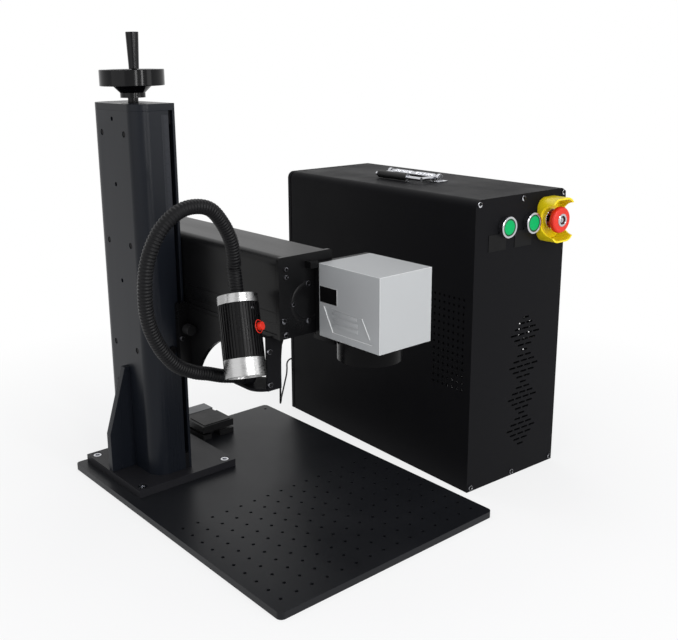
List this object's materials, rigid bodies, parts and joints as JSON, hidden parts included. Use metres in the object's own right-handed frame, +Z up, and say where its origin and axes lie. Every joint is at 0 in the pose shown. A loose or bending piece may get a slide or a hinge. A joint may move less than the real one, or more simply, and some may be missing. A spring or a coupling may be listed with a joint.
{
  "type": "laser marking machine",
  "caption": "Laser marking machine with a hand-raised column stand, drilled base plate, scan head on an arm, gooseneck lamp, foot switch and a separate black electronics cabinet.",
  "frame": {"origin": "centre of the base plate's underside", "axes": "+Z up; +X across the base plate, from the column towards the cabinet; -Y from the column towards the front, where the scan head hangs over the work holes"},
  "size_m": [0.6968, 0.582, 0.6894],
  "materials": {
    "black_anodised": "satin",
    "black_paint": "satin",
    "plate_black": "satin",
    "steel": "satin",
    "chrome": "polished",
    "bare_aluminium": "satin",
    "silver_coat": "satin",
    "brass": "satin",
    "blackened_steel": "satin",
    "black_gloss": "glossy",
    "black_plastic": "matte",
    "black_rubber": "matte",
    "yellow_plastic": "glossy",
    "red_plastic": "glossy",
    "green_plastic": "glossy",
    "optic_glass": "polished",
    "mirror_face": "polished"
  },
  "bodies": {
    "frame": {"base_plate": "plate_black", "column_foot": "black_anodised", "foot_bolts": "steel", "column_shell": "black_anodised", "column_cover": "black_anodised", "column_cap": "black_anodised", "column_screws": "black_anodised", "bearing_blocks": "black_anodised", "gusset": "black_anodised", "guide_rails": "blackened_steel", "height_scale": "black_anodised", "arm_cable": "black_plastic", "cabinet_wrap": "black_paint", "cabinet_base": "black_paint", "front_panel": "black_paint", "panel_screws": "chrome", "button_bezels": "chrome", "stop_guard": "yellow_plastic", "label_tags": "black_paint", "handle_brackets": "chrome", "laser_source": "bare_aluminium", "rear_panel": "black_paint", "rear_fittings": "black_plastic", "fan_frame": "black_plastic", "pedal_base": "black_plastic"},
    "wheel": {"lead_screw": "steel", "handwheel": "black_gloss"},
    "wheel_grip": {"handwheel_grip": "black_gloss"},
    "lift": {"carriage_block": "bare_aluminium", "lift_nut": "brass", "carriage_plate": "steel", "yoke_wings": "black_anodised", "arm_bracket": "black_anodised", "arm_base": "black_anodised", "arm_hood": "black_anodised", "arm_end_plates": "black_anodised", "arm_screws": "steel", "beam_optics": "bare_aluminium", "head_back_plate": "black_anodised", "head_housing": "silver_coat", "scan_motors": "steel", "head_shelf": "black_anodised", "lens_barrel": "black_anodised", "lens_glass": "optic_glass", "gooseneck_bracket": "black_paint", "gooseneck": "black_plastic", "lamp_cap": "bare_aluminium", "lamp_body": "black_anodised", "lamp_bezel": "bare_aluminium"},
    "knob": {"lock_knob": "black_plastic"},
    "mirror_x": {"scan_mirror_x": "mirror_face"},
    "mirror_y": {"scan_mirror_y": "mirror_face"},
    "lamp_push": {"lamp_button": "red_plastic"},
    "left_push": {"button_left": "green_plastic"},
    "right_push": {"button_right": "green_plastic"},
    "stop_push": {"stop_plunger": "black_plastic"},
    "stop_twist": {"stop_mushroom": "red_plastic"},
    "handle": {"handle_bail": "chrome"},
    "fan": {"fan_rotor": "black_plastic"},
    "treadle": {"pedal_treadle": "black_paint"}
  },
  "joints": [
    {"name": "handwheel_spin", "type": "hinge", "parent": "frame", "child": "wheel", "pos_m": [-0.098, 0.1855, 0.6], "axis": [0, 0, 1], "range_deg": [-12241, 8641]},
    {"name": "lift", "type": "slide", "parent": "frame", "child": "lift", "axis": [0, 0, 1], "range_m": [-0.12, 0.17], "deforming": ["arm_cable"]},
    {"name": "handwheel_grip_spin", "type": "hinge", "parent": "wheel", "child": "wheel_grip", "pos_m": [-0.11207, 0.15236, 0.64], "axis": [0, 0, 1], "continuous": true},
    {"name": "lock_knob_turn", "type": "hinge", "parent": "lift", "child": "knob", "pos_m": [-0.0775, 0.1, 0.256], "axis": [0, 1, 0], "range_deg": [-360, 360]},
    {"name": "scan_mirror_x_turn", "type": "hinge", "parent": "lift", "child": "mirror_x", "pos_m": [0.006, -0.186, 0.325], "axis": [0, 0, 1], "range_deg": [-10, 10], "stiffness_Nm_per_rad": 0.002},
    {"name": "scan_mirror_y_turn", "type": "hinge", "parent": "lift", "child": "mirror_y", "pos_m": [0.033, -0.186, 0.325], "axis": [0, 1, 0], "range_deg": [-10, 10], "stiffness_Nm_per_rad": 0.002},
    {"name": "lamp_button_press", "type": "slide", "parent": "lift", "child": "lamp_push", "axis": [-0.4245, 0.8626, -0.2752], "range_m": [0, 0.003], "stiffness_N_per_m": 300},
    {"name": "left_button_press", "type": "slide", "parent": "frame", "child": "left_push", "axis": [0.0434, 0.9991, 0], "range_m": [0, 0.003], "stiffness_N_per_m": 400},
    {"name": "right_button_press", "type": "slide", "parent": "frame", "child": "right_push", "axis": [0.0434, 0.9991, 0], "range_m": [0, 0.003], "stiffness_N_per_m": 400},
    {"name": "stop_press", "type": "slide", "parent": "frame", "child": "stop_push", "axis": [0.0434, 0.9991, 0], "range_m": [0, 0.005]},
    {"name": "stop_twist_turn", "type": "hinge", "parent": "stop_push", "child": "stop_twist", "pos_m": [0.38118, -0.22901, 0.409], "axis": [0.0434, 0.9991, 0], "range_deg": [0, 45], "stiffness_Nm_per_rad": 0.05},
    {"name": "handle_fold", "type": "hinge", "parent": "frame", "child": "handle", "pos_m": [0.33269, 0.02534, 0.459], "axis": [0.0434, 0.9991, 0], "range_deg": [0, 95]},
    {"name": "fan_spin", "type": "hinge", "parent": "frame", "child": "fan", "pos_m": [0.38168, 0.2314, 0.12], "axis": [0.0434, 0.9991, 0], "continuous": true},
    {"name": "treadle_press", "type": "hinge", "parent": "frame", "child": "treadle", "pos_m": [0.0435, 0.268, 0.026], "axis": [1, 0, 0], "range_deg": [0, 3.5], "stiffness_Nm_per_rad": 6}
  ],
  "couplings": [
    {"joint": "handwheel_spin", "follows": "lift", "rad_per_m": -1256.6}
  ]
}
